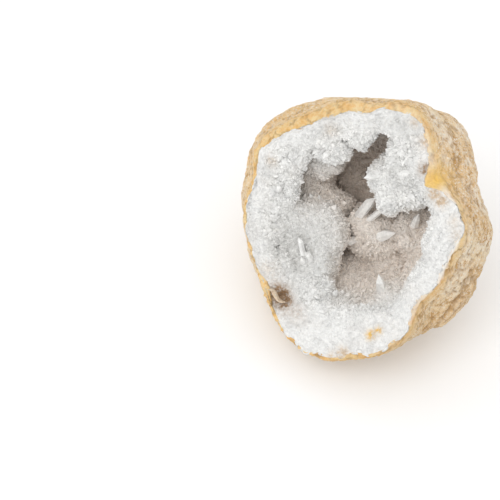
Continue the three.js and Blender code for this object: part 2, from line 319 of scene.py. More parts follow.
def skin(around, back, rimRadius, under):
    # A point below the outside of the stone by `under`: an ellipse from rim to back at each angle
    # around, whose width turns from the rim's outline into the belly's.
    share = smooth((back + stone["neck"]) / stone["bellyFromRim"])
    cosNeck, sinNeck = np.cos(np.radians(stone["neck"])), np.sin(np.radians(stone["neck"]))
    radius = (rimRadius * (1 - share) + (belly(around) - under) * share) / cosNeck
    lift = knobHeight(around, back) * share
    across = (radius + lift) * np.cos(np.radians(back))
    reach = stone["backReach"] + lift - under * share
    depth = reach * (np.sin(np.radians(back)) + sinNeck) + rimWave(around) * (1 - share)
    angle = np.radians(around)
    return np.stack([across * np.cos(angle), across * np.sin(angle), depth], -1)


rind = {
    "columns": 500,
    "outerRows": 164,
    "edgeRows": 7,
    "innerRows": 8,
    "swell": 0.75,  # heights in mm of the skin's roughness, from broad to fine
    "wrinkle": 0.8,
    "fineWrinkle": 0.45,
    "pit": 0.35,
    "grit": 0.18,
    "brokenEdge": 0.5,
    "flow": 0.5,  # wrinkles are drawn out along the rim: their lattice is this much finer across it
    "wander": 1.7,  # mm, how far their lines wave
    "roll": 1.3,  # mm that the outer corner of the broken edge falls back
    "rollBack": 9.0,  # degrees behind the corner over which it does
    "innerFloor": 2.6,  # mm above the ground that the inside stays
    "inset": 0.15,  # mm that the inside lies clear of the quartz's outline
    "wrinkleSize": 2.7,
    "fineWrinkleSize": 1.3,
    "swellSize": 9.0,
    "pitSize": 2.3,
    "pitReach": 0.45,  # of the pit's size
    "corner": 6.0,  # degrees over which the skin's roughness gives way to the broken edge's
    "atCorner": 0.35,  # the share of it that is left there
    "toRim": 14.0,  # mm behind the rim that its colour reaches
}

rindPatches = {  # where the skin's colours lie: degrees round the face, and reach
    "golden": (150, 75),
    "dusky": (-35, 45),
    "pale": (40, 50),
    # a cream line along the broken edge: partly the break's own paler colour, partly a painted highlight
    # along the edge
    "paleRimAndHighlight": (22, 46),
}

rustyNotch = {"at": (21, 32), "reach": 3.9, "depth": 9.0}  # a patch of yellow beside the ledge

creases = [  # grooves in the skin: both ends as around and back, half width in degrees, depth in mm
    ((8, 4), (-4, 5), 1.6, 0.9),
    ((-4, 5), (-17, 6), 1.6, 1.2),
    ((-17, 6), (-28, 11), 2.0, 1.0),
    ((5, 5), (3, 26), 2.4, 1.1),
    ((48, 14), (36, 44), 3.2, 0.8),
    ((100, 22), (138, 12), 3.0, 0.7),
    ((150, 40), (215, 62), 3.6, 1.0),
    ((60, 60), (112, 36), 3.4, 0.9),
    ((250, 34), (302, 55), 4.0, 0.9),
    ((330, 48), (372, 60), 3.6, 0.8),
]


def creased(around, back):
    # The depth of the deepest groove at each point: a bell curve of the distance from its line.
    total = np.zeros(np.broadcast(around, back).shape)
    for (a0, b0), (a1, b1), width, depth in creases:
        a = turnFrom(around, a0) + 0 * back
        b = back - b0 + 0 * around
        along = np.clip((a * (a1 - a0) + b * (b1 - b0)) / ((a1 - a0) ** 2 + (b1 - b0) ** 2), 0, 1)
        away = np.hypot(a - along * (a1 - a0), b - along * (b1 - b0)) / width
        total = np.maximum(total, depth * bell(away))
    return total


def flowing(flat):
    # Places on the skin as its wrinkles see them: drawn out along the rim and bent by broad waves.
    bent = flat * np.array([rind["flow"], rind["flow"], 1.0])
    bent[..., 2] += rind["wander"] * layered(flat, 10, 2, seeds["wander"])
    return bent


def creaseLines(places, size, seed):
    # 1 on the lines where the hills change sign, falling to 0 away from them.
    return 1 - np.clip(2.4 * np.abs(layered(places, size, 3, seed)), 0, 1)


def makeRind():
    # The outside from the back to the rim, across the broken edge, and back along the inside.
    around, neck = turns(rind["columns"]), stone["neck"]
    outerBack = np.linspace(89.2, -neck, rind["outerRows"])[:, None]
    outerRim = quartzRim(around) + crustWidth(around)
    outer = skin(around, outerBack, outerRim, 0.0)
    share = np.linspace(0, 1, rind["edgeRows"] + 2)[1:-1, None]
    edgeRadius = outerRim + share * (chippedRim(around) - outerRim)
    edge = skin(around, -neck + 0 * share, edgeRadius, 0.0)
    innerBack = np.linspace(-neck, 80, rind["innerRows"])[:, None]
    inner = skin(around, innerBack, chippedRim(around) - rind["inset"], stone["rindBack"])
    fallen = rind["roll"] * np.clip(crustWidth(around) / 3 - 0.25, 0, 1)
    outer[..., 2] += fallen * np.clip(1 - (outerBack + neck) / rind["rollBack"], 0, 1) ** 2
    edge[..., 2] += fallen * (1 - share) ** 2
    flat = np.concatenate([outer, edge, inner])

    back = np.concatenate([outerBack, -neck + 0 * share, innerBack])
    count = rind["outerRows"] + rind["edgeRows"]
    row = np.arange(len(flat))[:, None] + 0 * around
    outside = 1.0 * (row < count)
    points = placed(flat)
    normals = gridNormals(points)
    places = flowing(flat)
    wrinkle = creaseLines(places, rind["wrinkleSize"], seeds["wrinkle"])
    fineWrinkle = creaseLines(places, rind["fineWrinkleSize"], seeds["fineWrinkle"])
    near, _, _ = grains(points, rind["pitSize"], seeds["pit"])
    pit = (np.clip(rind["pitReach"] - near, 0, 1) / rind["pitReach"]) ** 2
    height = (
        rind["swell"] * layered(points, rind["swellSize"], 3, seeds["swell"])
        - rind["wrinkle"] * wrinkle**2 * (0.6 + 0.4 * hills(points, 14, seeds["deepWrinkle"]))
        - rind["fineWrinkle"] * fineWrinkle**2 * (0.6 + 0.4 * hills(points, 9, seeds["deepFine"]))
        - rind["pit"] * pit * (hills(points, 7, seeds["pitted"]) > 0)
        + rind["grit"] * layered(points, 0.9, 2, seeds["grit"])
        - creased(around, back)
    )
    behind = smooth((back + neck) / rind["corner"])
    broken = rind["brokenEdge"] * (1 - behind) * layered(points, 1.5, 3, seeds["brokenEdge"])
    height = height * (rind["atCorner"] + (1 - rind["atCorner"]) * behind) + broken
    points = points + normals * (height * outside)[..., None]
    floorHeight = np.where(outside > 0, 0.0, rind["innerFloor"])
    points[..., 2] = np.maximum(points[..., 2], floorHeight)

    yellow = bell(awayFrom(flat, *rustyNotch["at"]) / rustyNotch["reach"])
    yellow = yellow * (flat[..., 2] < rustyNotch["depth"])
    patch = {name: bell(turnFrom(around, at) / reach) + 0 * row for name, (at, reach) in rindPatches.items()}
    # the pale line with its painted highlight lies on the broken edge and a little outside it, and not where
    # the rind is yellow
    patch["paleRimAndHighlight"] *= (1 - yellow) * np.clip((row - rind["outerRows"] + 3) / 5, 0, 1) * outside
    furrow = 0.75 * wrinkle**2 + 0.5 * fineWrinkle**2 + 0.5 * creased(around, back)
    mesh, quads, fans = closedGrid(points)
    piece = buildMesh("rindSkin", mesh, quads, fans, {
        "toRim": withPoles(np.clip((flat[..., 2] - rimWave(around)) / rind["toRim"], 0, 1)),  # 0 at the break
        "crease": withPoles(np.clip(furrow, 0, 1)),
        "yellow": withPoles(yellow),
        "flow": withPoles(places * mm),
        **{name: withPoles(value) for name, value in patch.items()},
    })
    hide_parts("rind")
    return piece


vug = {  # the small hollow in the broken band at the lower left, with a curled shell of chalcedony
    "at": (-12.2, -34.2),
    "reach": 3.8,
    "depth": 5.2,
    "shell": [  # the curl's middle line, as right, up and depth
        (-18, -33.8, 0.8), (-15.8, -33.1, 0.1), (-14, -33.6, 0), (-12.5, -34.8, 0.3), (-10.9, -35.3, 1),
        (-9.6, -34.9, 2),
    ],
    "shellHalf": (0.55, 1.7),  # half its thickness and half its height
    # the shell takes some of the rind's pale edge line, with its painted highlight
    "shellColour": {"toRim": 1, "crease": 0, "golden": 0.3, "pale": 0, "dusky": 0.6, "paleRimAndHighlight": 0.35},
    "shellRows": 60,
    "shellColumns": 24,
}

wall = {
    "columns": 440,
    "hiddenRows": 9,
    "bandRows": 34,
    "hollowRows": 158,
    "swell": 1.1,  # heights in mm
    "domes": 1.0,
    "smallDomes": 0.6,
    "fine": 0.14,
    "bandSwell": 0.75,
    "tuck": 0.5,  # mm that the wall falls back under the broken edge of the rind
    "tuckTravel": 0.05,  # how far out it reaches there, as a share of the band
    "deepSwell": 3.2,  # mm, cauliflower heads on the wall's deepest part
    "fillet": 1.3,  # mm that the quartz is built up in the seams between mounds
    "filletReach": 2.6,
    "swellSize": 10.0,
    "domeSize": 5.2,
    "smallDomeSize": 2.0,
    "headSize": 9.0,
    "headsFrom": 20.0,  # mm behind the face where the heads begin, and over how many they grow
    "headsOver": 9.0,
    "moundSwell": 0.2,  # of a mound's size
    "moundHills": 1.1,  # mm
    "moundHillSize": 5.5,
}

bandRoughness = closedCurve([  # of the broken band round the mouth, as a share of the hollow's
    (0, 0.45), (45, 0.5), (90, 0.85), (150, 1), (190, 0.9), (230, 0.6), (270, 0.45), (315, 0.4),
])

mounds = {  # centre and half sizes as right, up and depth in the face's frame
    "left": ((-15, -15, 16), (16, 15.5, 12.5)),
    "backLeft": ((-21.5, -1.5, 25.5), (10.5, 9, 9)),
    "backUpper": ((-30, 9.5, 26), (9, 8.5, 8)),
    "leftLip": ((-31.7, 1.4, 6.5), (6.8, 8.5, 5.5)),
    "lowerLeftLip": ((-28.5, -14, 6), (6.5, 8, 5)),
    "upperLeftLip": ((-33.5, 15, 5.5), (7, 6.5, 5)),
    "roofLeft": ((-19.8, 24, 8), (6, 5.5, 5.5)),
    "roofMiddle": ((-12, 33, 6), (5, 5, 5)),
    "ledgeRoot": ((13, 25.5, 10), (11, 9.5, 7.5)),
    "ledgeTip": ((2, 22.5, 11), (7, 6.5, 6)),
    "ledgeTop": ((5, 34, 9), (7, 7, 6)),
    "ledgeFoot": ((8, 17.5, 12), (7, 6, 6)),
    "rightLip": ((32, 14, 6), (6.5, 8, 6)),
    "rightLow": ((32, -4, 8), (4, 7, 6)),
    "bottomLip": ((20, -30, 5), (9, 6, 4)),
    "bottomLeftLip": ((-1.5, -29.5, 8.5), (7, 7, 6.5)),
    "floor": ((3, -3, 32), (11, 10, 11)),
    "floorRight": ((17, 8, 28), (9, 9, 8)),
    "wedgeFoot": ((-4.5, 1, 28), (6.5, 6.5, 7)),
    "lowRight": ((21, -19, 18), (6, 6, 6)),
    "leftFill": ((-19, -23.5, 9.5), (8, 7, 6.5)),
    "leftBase": ((-11, -28, 10), (7.5, 6.5, 6.5)),
    "leftSeam": ((-32, -6, 7), (6, 7, 6)),
    "topSeam": ((-31.5, 22.5, 7), (5.5, 5, 5)),
    "backTop": ((-27, 17, 20), (9, 8.5, 8)),
}

calm = {  # how rough the smoother mounds are, and how many small crystals they have, beside the rest
    "left": 0.4, "leftFill": 0.4, "leftBase": 0.5, "leftSeam": 0.7, "wedgeFoot": 0.2, "floor": 0.6,
}

stains = {  # spots in the quartz: right, up, reach in mm and strength, in one plane with the broken face
    "yellow": [(25.7, -28, 1.7, 1.0), (27.4, -25.4, 1.5, 0.9)],
    "glassy": [
        (-15, -14, 10, 1.0), (-36, -19, 5, 0.9), (-30, -27, 5, 0.7), (10, 27, 5, 0.4), (-24, 33, 5, 0.4),
        (3, 44, 5, 0.4), (-38, 4, 4, 0.4),
    ],
    "tan": [
        (16.2, 41.8, 2.2, 0.8), (14.2, 43.8, 2.0, 0.6), (23.6, 27.6, 2.4, 1.1), (26.8, 26.6, 2.4, 1.1),
        (13.2, 42.6, 2.2, 0.9), (6.1, 46.8, 1.8, 0.5),
        (34.5, 22.3, 2.6, 0.35), (37.2, 18.7, 2.4, 0.35), (19.2, -40.2, 2.5, 1.1), (15.3, -42.6, 1.6, 0.6),
        (-37, 10.1, 2.2, 0.45), (-21.2, 30.2, 2.4, 0.3), (-21.3, -27.6, 3.6, 0.3), (-17, -38, 2.5, 0.5),
    ],
    "brown": [
        (16.6, 33.6, 2.3, 0.95), (-13.3, -33.9, 4.0, 1.4), (-10.5, -34.6, 3.4, 1.3), (-4.1, -36, 4.0, 0.35),
        (-13.7, -31.1, 2.4, 0.6), (-16.5, -35.5, 2.4, 0.6),
        (-8, -38, 3.0, 0.3),
    ],
}


stainDepth = {"yellow": (6, 6), "glassy": (14, 8), "tan": (6, 6), "brown": (6, 6)}  # fades from, over (mm)


def stained(flat):
    # The strength of each stain at points in the face's frame: the strongest of its spots' bell curves,
    # fading with depth.
    strength = {}
    for kind, spots in stains.items():
        start, over = stainDepth[kind]
        shallow = np.clip(1 - (flat[..., 2] - start) / over, 0, 1)
        total = np.zeros(flat.shape[:-1])
        for u, v, reach, most in spots:
            total = np.maximum(total, most * bell(awayFrom(flat, u, v) / reach))
        strength[kind] = (total * shallow).ravel()
    return strength


def bandDepth(around, band):
    # Depth on the broken band: the rim's waves fade while the band falls with the square of its share.
    return rimWave(around) * (1 - band) + hollow["lipDepth"] * band**2


def bowlRadius(around, turn):
    # The bowl's radius at each turn from its lip (0) to its floor (a quarter turn).
    return mouth(around) * (np.cos(turn) ** hollow["roundness"] + hollow["undercut"] * np.sin(2 * turn))


def hollowFlat(around, travel):
    # From the rim (travel 0) over the sloping broken band to the lip (1), then down an uneven bowl,
    # a little wider behind its mouth, to the floor (2).
    band = np.clip(travel, -wall["tuckTravel"], 1)
    turn = np.radians(90 * np.clip(travel - 1, 0, 1))
    bandRadius = (chippedRim(around) + 0.1) * (1 - band) + mouth(around) * band
    radius = np.where(travel <= 1, bandRadius, bowlRadius(around, turn))
    drop = hollow["depth"] - hollow["lipDepth"]
    depth = bandDepth(around, band) + drop * np.sin(turn) ** hollow["flatness"]
    drift = np.sin(turn)
    angle = np.radians(around)
    return np.stack([
        radius * np.cos(angle) + hollow["floorShift"][0] * drift,
        radius * np.sin(angle) + hollow["floorShift"][1] * drift,
        depth + 0 * radius,
    ], -1)


def inTheOpen(flat, margin):
    # True where a point is in the hollow or in front of the broken face, not inside the quartz.
    u, v, depth = flat[..., 0], flat[..., 1], flat[..., 2]
    drop = hollow["depth"] - hollow["lipDepth"]
    drift = np.clip((depth - hollow["lipDepth"]) / drop, 0, 1) ** (1 / hollow["flatness"])
    du, dv = u - hollow["floorShift"][0] * drift, v - hollow["floorShift"][1] * drift
    around = np.degrees(np.arctan2(dv, du))
    radius = np.hypot(du, dv)
    inBowl = (radius < bowlRadius(around, np.arcsin(drift)) + margin) & (depth < hollow["depth"] + margin)
    band = np.clip((quartzRim(around) - radius) / (quartzRim(around) - mouth(around)), 0, 1)
    inFront = (depth < bandDepth(around, band) + margin) & (radius < quartzRim(around))
    return inBowl | inFront


def quartzRoughness(points, share):
    # Broad swells, packed round caps of two sizes, and fine grain. The share is that of the hollow's
    # roughness; a surface with less of it keeps only its swells and grain.
    swell = wall["bandSwell"] + (wall["swell"] - wall["bandSwell"]) * share
    return (
        swell * layered(points, wall["swellSize"], 2, seeds["quartzSwell"])
        + share * wall["domes"] * (domes(points, wall["domeSize"], seeds["domes"]) - 0.5)
        + share * wall["smallDomes"] * (domes(points, wall["smallDomeSize"], seeds["smallDomes"]) - 0.5)
        + wall["fine"] * layered(points, 0.9, 2, seeds["fine"])
    )


def moundReach(flat, name):
    # How far each point is from a mound's centre: 1 on its surface.
    centre, half = mounds[name]
    return np.linalg.norm((flat - np.array(centre)) / np.array(half), axis=-1)


def besideMounds(flat, skip=None):
    # How close each point is to the surface of another mound: 1 on it, less by a bell curve off it.
    near = np.zeros(flat.shape[:-1])
    for name, (_, half) in mounds.items():
        if name != skip:
            near = np.maximum(near, bell((moundReach(flat, name) - 1) * min(half) / wall["filletReach"]))
    return near


def makeWall():
    # The hidden side from the back to the rim, then the broken band and the hollow.
    around = turns(wall["columns"])
    hiddenBack = np.linspace(80, -stone["neck"], wall["hiddenRows"])[:, None]
    hidden = skin(around, hiddenBack, quartzRim(around) - 0.1, stone["rindBack"] + 0.3)
    tuck = -wall["tuckTravel"] * np.array([1.0, 0.4])[:, None]
    band = np.linspace(0, 1, wall["bandRows"])[:, None]
    bowl = np.linspace(1, 1.985, wall["hollowRows"])[1:, None]  # just short of 2, where it would be a point
    travel = np.concatenate([tuck, band, bowl])
    shown = hollowFlat(around, travel)
    shown[..., 2] += wall["tuck"] * (np.clip(-travel / wall["tuckTravel"], 0, 1) ** 2)
    shown[..., 2] += vug["depth"] * bell(awayFrom(shown, *vug["at"]) / vug["reach"])
    flat = np.concatenate([hidden, shown])
    points = placed(flat)
    points[: wall["hiddenRows"], :, 2] = np.maximum(points[: wall["hiddenRows"], :, 2], 3.0)
    travel = np.concatenate([np.zeros((wall["hiddenRows"], 1)), travel])
    share = bandRoughness(around) + (1 - bandRoughness(around)) * smooth((travel - 0.7) / 0.5)
    height = quartzRoughness(points, share) + wall["fillet"] * besideMounds(flat)
    heads = smooth((flat[..., 2] - wall["headsFrom"]) / wall["headsOver"])
    height = height + wall["deepSwell"] * domes(points, wall["headSize"], seeds["heads"]) * heads
    height = height * smooth((travel - 0.03) / 0.12)
    points = points + gridNormals(points) * height[..., None]
    mesh, quads, fans = closedGrid(points)
    inside = smooth((travel - 0.05) / 0.25) * (1 - besideMounds(flat))
    values = {**stained(unplaced(mesh)), "inside": withPoles(inside)}
    piece = buildMesh("quartzWall", mesh, quads, fans, values)
    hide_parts("quartz_wall")
    return piece, points[wall["hiddenRows"]:]


def makeMound(name, centre, half):
    # An ellipsoid, pushed in and out by broad swells and then by the quartz's own roughness.
    size = max(half)
    rowCount = int(14 + size * 6)
    tilt = np.linspace(2, 178, rowCount)[:, None]
    around = turns(rowCount * 2)
    a, t = np.radians(around), np.radians(tilt)
    ball = np.stack([np.sin(t) * np.cos(a), np.sin(t) * np.sin(a), np.cos(t) + 0 * a], -1)
    start = np.array(centre, float) + ball * np.array(half, float)
    swell = 1 + wall["moundSwell"] * layered(start, size * 0.9, 2, seeds["moundSwell"]) - 0.04
    flat = np.array(centre, float) + ball * np.array(half, float) * swell[..., None]
    points = placed(flat)
    evenness = calm.get(name, 1.0)
    uneven = hills(points, wall["moundHillSize"], seeds["moundHills"])
    height = quartzRoughness(points, evenness) + wall["moundHills"] * evenness * uneven
    height = height + wall["fillet"] * (name != "wedgeFoot") * besideMounds(flat, name)
    return points + gridNormals(points) * height[..., None]


moundPieces = {"leftMounds": 8, "rightMounds": 8, "innerMounds": 9}  # how many, in turn, each piece holds


def makeMounds():
    # Each piece is several separate closed shapes. Gives the pieces, then every mound's name and grid.
    made, patches = [], []
    names = iter(mounds)
    for title, held in moundPieces.items():
        parts, quads, fans, inside = [], [], [], []
        count = 0
        for name in itertools.islice(names, held):
            points = makeMound(name, *mounds[name])
            mesh, q, f = closedGrid(points)
            parts.append(mesh)
            inside.append(1 - besideMounds(unplaced(mesh), name))
            quads.append(q + count)
            fans.append(f + count)
            patches.append((name, points))
            count += len(mesh)
        mesh = np.concatenate(parts)
        piece = buildMesh(title, mesh, np.concatenate(quads), np.concatenate(fans), {
            **stained(unplaced(mesh)), "inside": np.concatenate(inside),
        })
        made.append(piece)
    return made, patches


def makeShell():
    # An oval swept along the curl's middle line, thinned to nothing at both ends.
    knots = np.array(vug["shell"], float)
    t = np.linspace(0, len(knots) - 1.001, vug["shellRows"])
    i = t.astype(int)
    f = (t - i)[:, None]
    ends = np.concatenate([2 * knots[:1] - knots[1:2], knots, 2 * knots[-1:] - knots[-2:-1]])
    a, b, c, d = ends[i], ends[i + 1], ends[i + 2], ends[i + 3]
    line = b + 0.5 * f * (c - a + f * (2 * a - 5 * b + 4 * c - d + f * (3 * (b - c) + d - a)))
    ahead = np.gradient(line, axis=0)
    side = np.cross(ahead, [0.0, 0.0, 1.0])
    side /= np.linalg.norm(side, axis=-1, keepdims=True)
    turn = np.linspace(0, 2 * np.pi, vug["shellColumns"], endpoint=False)[None, :, None]
    swell = np.sqrt(np.clip(np.sin(np.pi * (t + 0.02) / (len(knots) - 0.96)), 0.02, 1))[:, None, None]
    thick, tall = vug["shellHalf"]
    ring = side[:, None] * np.cos(turn) * thick + np.array([0.0, 0.0, 1.0]) * np.sin(turn) * tall
    points = placed(line[:, None] + ring * swell)
    points = points + gridNormals(points) * (0.25 * layered(points, 1.6, 3, seeds["shell"]))[..., None]
    mesh, quads, fans = closedGrid(points)
    values = {name: np.full(len(mesh), value) for name, value in vug["shellColour"].items()}
    return buildMesh("curledShell", mesh, quads, fans, {**values, "flow": mesh * mm})


druse = {
    "perPiece": 8600,
    "pieces": 3,
    "width": 0.96,  # mm, the usual crystal
    "spread": 0.34,  # of the logarithm of the width
    "patchy": 0.3,  # how much the width's logarithm changes from place to place
    "widest": 2.9,
    "length": 1.2,  # of the width
    "sunk": 0.8,  # of the width, root below the surface
    "lean": 0.42,  # how far crystals tip from square to the wall
    "narrowest": 0.6,
    "onBand": 0.352,  # how crowded the broken band is beside the hollow
    "clearOfRim": 0.8,  # mm inside the rim where they begin, and over how many they grow
    "fromRim": 2.5,
    "taper": 0.94,  # the shoulder's width as a share of the root's
    "coarse": [  # clusters of wider crystals: right, up, reach in mm, and how many times wider
        (-36, 14, 5, 2.2), (-33, 2, 4, 1.8), (-22, 24, 4, 1.7), (-11, 33, 4, 1.6), (-27, -14, 4, 1.6),
        (-14, 26, 6, 1.4), (3, 23, 4, 1.7), (8, 38, 4, 1.7), (12, 20, 5, 1.5), (20, 31, 4, 1.4),
        (-2, -27, 4, 1.7),
    ],
}


def crowding(points):
    # 1 in the hollow and on the mounds that stand in it, less over the broken band, 0 at the rim.
    flat = unplaced(points)
    around = np.degrees(np.arctan2(flat[..., 1], flat[..., 0]))
    radius = np.hypot(flat[..., 0], flat[..., 1])
    fromMouth = (radius - mouth(around)) / (quartzRim(around) - mouth(around))
    onBand = np.clip(druse["onBand"] * bandRoughness(around) + coarseShare(points), 0, 1)
    shallow = 1 - smooth((flat[..., 2] - 4) / 4)
    share = 1 - (1 - onBand) * smooth((fromMouth + 0.05) / 0.4) * shallow
    fromRim = smooth((quartzRim(around) - radius - druse["clearOfRim"]) / druse["fromRim"])
    return share * (1 - shallow * (1 - fromRim))


def coarseShare(points):
    # How far each point is inside the clusters of wider crystals, as the widening's logarithm there.
    flat = unplaced(points)
    share = np.zeros(points.shape[:-1])
    for u, v, reach, wider in druse["coarse"]:
        share = np.maximum(share, np.log(wider) * bell(awayFrom(flat, u, v) / reach))
    return share


def crystalTemplate():
    # A six-sided prism from root to shoulder and a point: a ring at 0, a ring at 1, a tip at 2.
    turn = np.radians(60 * np.arange(6))
    ring = np.stack([np.cos(turn), np.sin(turn)], -1) * 0.5
    corner = np.arange(6)
    after = (corner + 1) % 6
    sides = np.concatenate([
        np.stack([corner, after, after + 6], -1), np.stack([corner, after + 6, corner + 6], -1),
        np.stack([corner + 6, after + 6, np.full(6, 12)], -1),
        np.array([[0, 2, 1], [0, 3, 2], [0, 4, 3], [0, 5, 4]]),
    ])
    return ring, sides


def gridFaceFrames(grid):
    # Each face's first corner, its two sides from there, and its normal, as long as its area.
    corner = grid[:-1]
    across, along = np.roll(grid, -1, 1)[:-1] - corner, grid[1:] - corner
    return corner, across, along, np.cross(across, along)


def scattered(grid, count, weight):
    # Points spread evenly over a grid's surface, each in a random place of a random four-cornered
    # face, with the odds by the face's area times its weight. Gives the places and outward directions.
    corner, across, along, normal = gridFaceFrames(grid)
    area = np.linalg.norm(normal, axis=-1)
    odds = (area * weight(corner + across / 2 + along / 2)).ravel()
    pick = rng.choice(odds.size, count, p=odds / odds.sum())
    s, t = rng.random((2, count, 1))
    corner, across, along, normal = (each.reshape(-1, 3)[pick] for each in (corner, across, along, normal))
    return corner + across * s + along * t, normal / np.maximum(area.ravel()[pick, None], 1e-9)


def exposed(points, skip=None):
    # True where a point on the quartz isn't buried in the wall or in another mound.
    flat = unplaced(points)
    free = inTheOpen(flat, 1.0 if skip else 3.5)
    for name in mounds:
        if name != skip:
            free &= moundReach(flat, name) > 0.88
    return free


def openShare(points, name):
    # How crowded each point of a mound, or of the wall where the name is None, is with crystals.
    return exposed(points, name) * crowding(points) * calm.get(name, 1.0)


def makeDruse(wallGrid, patches):
    # Crystals on the wall and on every mound, each turned to stand out from the surface.
    total = druse["perPiece"] * druse["pieces"]
    surfaces = [(None, wallGrid)] + patches
    areas = []
    for name, grid in surfaces:
        corner, _, _, normal = gridFaceFrames(grid)
        areas.append((np.linalg.norm(normal, axis=-1) * openShare(corner, name)).sum())
    counts = np.floor(np.array(areas) / sum(areas) * total).astype(int)
    counts[0] += total - counts.sum()
    places, outs = [], []
    for (name, grid), count in zip(surfaces, counts):
        place, out = scattered(grid, count, lambda p: openShare(p, name) + 1e-9)
        places.append(place)
        outs.append(out)
    place, out = np.concatenate(places), np.concatenate(outs)
    order = rng.permutation(total)
    place, out = place[order], out[order]

    lean = rng.normal(size=(total, 3))
    axis = out + druse["lean"] * lean
    axis /= np.linalg.norm(axis, axis=-1, keepdims=True)
    side = np.cross(axis, rng.normal(size=(total, 3)))
    side /= np.linalg.norm(side, axis=-1, keepdims=True)
    other = np.cross(axis, side)
    logWidth = druse["spread"] * rng.normal(size=total)
    logWidth = logWidth + druse["patchy"] * layered(place, 8, 2, seeds["patchy"]) + coarseShare(place)
    width = np.clip(druse["width"] * np.exp(logWidth), druse["narrowest"], druse["widest"])
    width = width * (0.55 + 0.45 * crowding(place))
    flatter = rng.uniform(0.75, 1.0, total)
    length = width * druse["length"] * rng.uniform(0.75, 1.25, total)
    ring, sides = crystalTemplate()
    shoulder = length[:, None] * (1 + 0.16 * rng.normal(size=(total, 6))) - 0.5 * width[:, None]
    tip = rng.normal(size=(total, 2)) * 0.13 * width[:, None]
    local = np.zeros((total, 13, 3))
    local[:, :6, :2] = ring * width[:, None, None]
    local[:, 6:12, :2] = ring * width[:, None, None] * druse["taper"]
    local[:, :12, 1] *= flatter[:, None]
    local[:, 6:12, 2] = shoulder
    local[:, 12, :2] = tip
    local[:, 12, 2] = length + 0.15 * width
    local[:, :, 2] -= druse["sunk"] * width[:, None]
    points = (
        place[:, None] + local[..., 0:1] * side[:, None] + local[..., 1:2] * other[:, None]
        + local[..., 2:3] * axis[:, None]
    )
    luck = rng.random(total)
    made = []
    for i in range(druse["pieces"]):
        part = slice(i * druse["perPiece"], (i + 1) * druse["perPiece"])
        mine = points[part]
        faces = (sides[None] + 13 * np.arange(len(mine))[:, None, None]).reshape(-1, 3)
        flat = mine.reshape(-1, 3)
        piece = buildMesh(f"druse{i + 1}", flat, np.zeros((0, 4), int), faces, {
            **stained(unplaced(flat)), "luck": np.repeat(luck[part], 13),
            # how far along its crystal each point is, for painted shade: darker at the root, lighter at the
            # point
            "tip": np.tile(np.repeat([0.0, 0.4, 1.0], [6, 6, 1]), len(mine)),
        }, smoothed=False)
        made.append(piece)
    return made


def addNode(tree, kind, **values):
    # Nodes are laid out in columns of five, in the order that they are added.
    count = len(tree.nodes)
    node = tree.nodes.new(kind)
    node.location = (220 * (count // 5), -280 * (count % 5))
    for key, value in values.items():
        setattr(node, key, value)
    return node


def feed(tree, socket, value):
    # A socket takes another node's output or a fixed value.
    if isinstance(value, bpy.types.NodeSocket):
        tree.links.new(value, socket)
    else:
        socket.default_value = value


def newMaterial(name):
    material = bpy.data.materials.new(name)
    material.use_nodes = True
    return material, material.node_tree, material.node_tree.nodes["Principled BSDF"]


def newGroup(name, inputs, outputs):
    # Inputs and outputs are names with their kinds. Gives the group and the sockets at both its ends.
    group = bpy.data.node_groups.new(name, "ShaderNodeTree")
    for end, sockets in (("INPUT", inputs), ("OUTPUT", outputs)):
        for socket, kind in sockets.items():
            group.interface.new_socket(socket, in_out=end, socket_type="NodeSocket" + kind)
    return group, addNode(group, "NodeGroupInput").outputs, addNode(group, "NodeGroupOutput").inputs


def mixColour(tree, factor, first, second, blend="MIX"):
    node = addNode(tree, "ShaderNodeMix", data_type="RGBA", blend_type=blend)
    for i, value in ((0, factor), (6, first), (7, second)):
        feed(tree, node.inputs[i], value)
    return node.outputs[2]


def ramp(tree, source, low, high, toLow=0.0, toHigh=1.0):
    # Source values from low to high become values from toLow to toHigh.
    node = addNode(tree, "ShaderNodeMapRange")
    for i, value in enumerate((source, low, high, toLow, toHigh)):
        feed(tree, node.inputs[i], value)
    return node.outputs[0]


def noise(tree, coordinates, scale, detail, roughness):
    node = addNode(tree, "ShaderNodeTexNoise")
    values = {"Vector": coordinates, "Scale": scale, "Detail": detail, "Roughness": roughness}
    for socket, value in values.items():
        feed(tree, node.inputs[socket], value)
    return node.outputs[0]


def numbers(tree, operation, *values, clamped=False):
    node = addNode(tree, "ShaderNodeMath", operation=operation, use_clamp=clamped)
    for socket, value in zip(node.inputs, values):
        feed(tree, socket, value)
    return node.outputs[0]


def vectors(tree, operation, first, second):
    node = addNode(tree, "ShaderNodeVectorMath", operation=operation)
    feed(tree, node.inputs[0], first)
    feed(tree, node.inputs[1], second)
    return node.outputs["Value" if operation == "DOT_PRODUCT" else "Vector"]


def attribute(tree, name, output="Fac"):
    return addNode(tree, "ShaderNodeAttribute", attribute_name=name).outputs[output]


def group(tree, inner, **values):
    node = addNode(tree, "ShaderNodeGroup", node_tree=inner)
    for socket, value in values.items():
        feed(tree, node.inputs[socket], value)
    return node.outputs


def bumps(tree, shader, strength, layers):
    # Each layer is a height and how many metres it stands for; each bump is laid on the one before.
    normal = None
    for height, distance in layers:
        bump = addNode(tree, "ShaderNodeBump")
        bump.inputs["Strength"].default_value = strength
        bump.inputs["Distance"].default_value = distance
        feed(tree, bump.inputs["Height"], height)
        if normal:
            feed(tree, bump.inputs["Normal"], normal)
        normal = bump.outputs["Normal"]
    feed(tree, shader.inputs["Normal"], normal)


